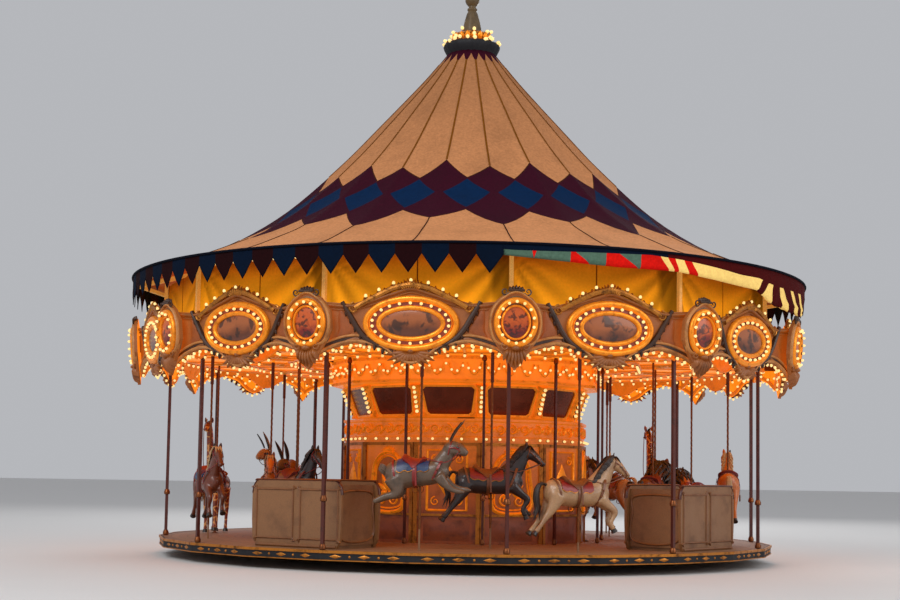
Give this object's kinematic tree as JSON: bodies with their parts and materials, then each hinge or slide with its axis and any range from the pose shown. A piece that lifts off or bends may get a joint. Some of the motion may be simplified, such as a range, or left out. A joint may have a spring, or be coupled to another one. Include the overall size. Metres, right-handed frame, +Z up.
{
  "type": "fairground carousel",
  "caption": "Fairground carousel with a bell-shaped cloth roof, carved rounding boards, a turning platform, two chariots and animals that rise and fall on poles.",
  "frame": {"origin": "on the ground at the centre of the ride", "axes": "+Z up along the centre mast; -Y is the front, where a corner between two bays faces; the ride turns anticlockwise seen from above"},
  "size_m": [12.2, 12.2, 10.72],
  "materials": {
    "frame_steel": "dark painted steel, rubbed and dusty",
    "amber_panels": "varnished amber-lit painted panels with gilt lines",
    "deck_boards": "pale worn tread boards",
    "navy_paint": "dark navy gloss paint with a gilt lip",
    "carved_board": "grey-brown carved and gilded, dusty",
    "cream_cloth": "cream cloth, lit amber from inside",
    "roof_cloth": "cream, plum and navy coated cloth with ochre seams",
    "valance_cloth": "navy and burgundy cloth pennants",
    "gold_paint": "aged gilding with dark recesses",
    "chariot_paint": "tan painted sides with gilt rails",
    "ivory_coat": "ivory gloss paint, worn",
    "slate_coat": "grey gloss paint, worn",
    "bay_coat": "brown gloss paint, worn",
    "black_coat": "dark gloss paint, worn",
    "tawny_coat": "tawny orange gloss paint, worn"
  },
  "bodies": {
    "base": {"base_frame": "frame_steel", "centre_mast": "frame_steel", "centre_casing": "amber_panels"},
    "turntable": {"platform_deck": "deck_boards", "platform_fascia": "navy_paint", "sweep_frame": "frame_steel", "ceiling": "amber_panels", "inner_cornice": "amber_panels", "curtain_wall": "cream_cloth", "canopy_frame": "frame_steel", "canopy": "roof_cloth", "valance": "valance_cloth", "valance_rolled": "cream_cloth", "finial_crown": "gold_paint", "finial_spire": "gold_paint", "chariot_left": "chariot_paint", "chariot_right": "chariot_paint", "rounding_board_01": "carved_board", "rounding_board_02": "carved_board", "rounding_board_03": "carved_board", "rounding_board_04": "carved_board", "rounding_board_05": "carved_board", "rounding_board_06": "carved_board", "rounding_board_07": "carved_board", "rounding_board_08": "carved_board", "rounding_board_09": "carved_board", "rounding_board_10": "carved_board", "rounding_board_11": "carved_board", "rounding_board_12": "carved_board", "outer_giraffe": "tawny_coat", "inner_lion": "bay_coat", "inner_giraffe_right": "tawny_coat", "inner_hare": "slate_coat", "inner_horse_front_left": "black_coat"},
    "outer_hare_riser": {"outer_hare": "slate_coat"},
    "outer_horse_front_riser": {"outer_horse_front": "ivory_coat"},
    "outer_horse_right_riser": {"outer_horse_right": "tawny_coat"},
    "outer_lion_riser": {"outer_lion": "tawny_coat"},
    "outer_horse_back_right_riser": {"outer_horse_back_right": "bay_coat"},
    "outer_horse_back_riser": {"outer_horse_back": "ivory_coat"},
    "outer_horse_back_left_riser": {"outer_horse_back_left": "black_coat"},
    "outer_hare_back_riser": {"outer_hare_back": "ivory_coat"},
    "outer_horse_left_riser": {"outer_horse_left": "bay_coat"},
    "inner_horse_front_riser": {"inner_horse_front": "black_coat"},
    "inner_horse_right_riser": {"inner_horse_right": "ivory_coat"},
    "inner_horse_back_riser": {"inner_horse_back": "tawny_coat"},
    "inner_horse_left_riser": {"inner_horse_left": "tawny_coat"}
  },
  "joints": [
    {"name": "turntable_spin", "type": "hinge", "parent": "base", "child": "turntable", "pos_m": [0, 0, 3.53], "axis": [0, 0, 1], "continuous": true},
    {"name": "outer_hare_rise", "type": "slide", "parent": "turntable", "child": "outer_hare_riser", "axis": [0, 0, 1], "range_m": [-0.29, 0.07]},
    {"name": "outer_horse_front_rise", "type": "slide", "parent": "turntable", "child": "outer_horse_front_riser", "axis": [0, 0, 1], "range_m": [-0.12, 0.24]},
    {"name": "outer_horse_right_rise", "type": "slide", "parent": "turntable", "child": "outer_horse_right_riser", "axis": [0, 0, 1], "range_m": [-0.27, 0.09]},
    {"name": "outer_lion_rise", "type": "slide", "parent": "turntable", "child": "outer_lion_riser", "axis": [0, 0, 1], "range_m": [-0.07, 0.29]},
    {"name": "outer_horse_back_right_rise", "type": "slide", "parent": "turntable", "child": "outer_horse_back_right_riser", "axis": [0, 0, 1], "range_m": [-0.22, 0.14]},
    {"name": "outer_horse_back_rise", "type": "slide", "parent": "turntable", "child": "outer_horse_back_riser", "axis": [0, 0, 1], "range_m": [-0.3, 0.06]},
    {"name": "outer_horse_back_left_rise", "type": "slide", "parent": "turntable", "child": "outer_horse_back_left_riser", "axis": [0, 0, 1], "range_m": [-0.09, 0.27]},
    {"name": "outer_hare_back_rise", "type": "slide", "parent": "turntable", "child": "outer_hare_back_riser", "axis": [0, 0, 1], "range_m": [-0.24, 0.12]},
    {"name": "outer_horse_left_rise", "type": "slide", "parent": "turntable", "child": "outer_horse_left_riser", "axis": [0, 0, 1], "range_m": [-0.2, 0.16]},
    {"name": "inner_horse_front_rise", "type": "slide", "parent": "turntable", "child": "inner_horse_front_riser", "axis": [0, 0, 1], "range_m": [-0.28, 0.08]},
    {"name": "inner_horse_right_rise", "type": "slide", "parent": "turntable", "child": "inner_horse_right_riser", "axis": [0, 0, 1], "range_m": [-0.14, 0.22]},
    {"name": "inner_horse_back_rise", "type": "slide", "parent": "turntable", "child": "inner_horse_back_riser", "axis": [0, 0, 1], "range_m": [-0.26, 0.1]},
    {"name": "inner_horse_left_rise", "type": "slide", "parent": "turntable", "child": "inner_horse_left_riser", "axis": [0, 0, 1], "range_m": [-0.08, 0.28]}
  ]
}
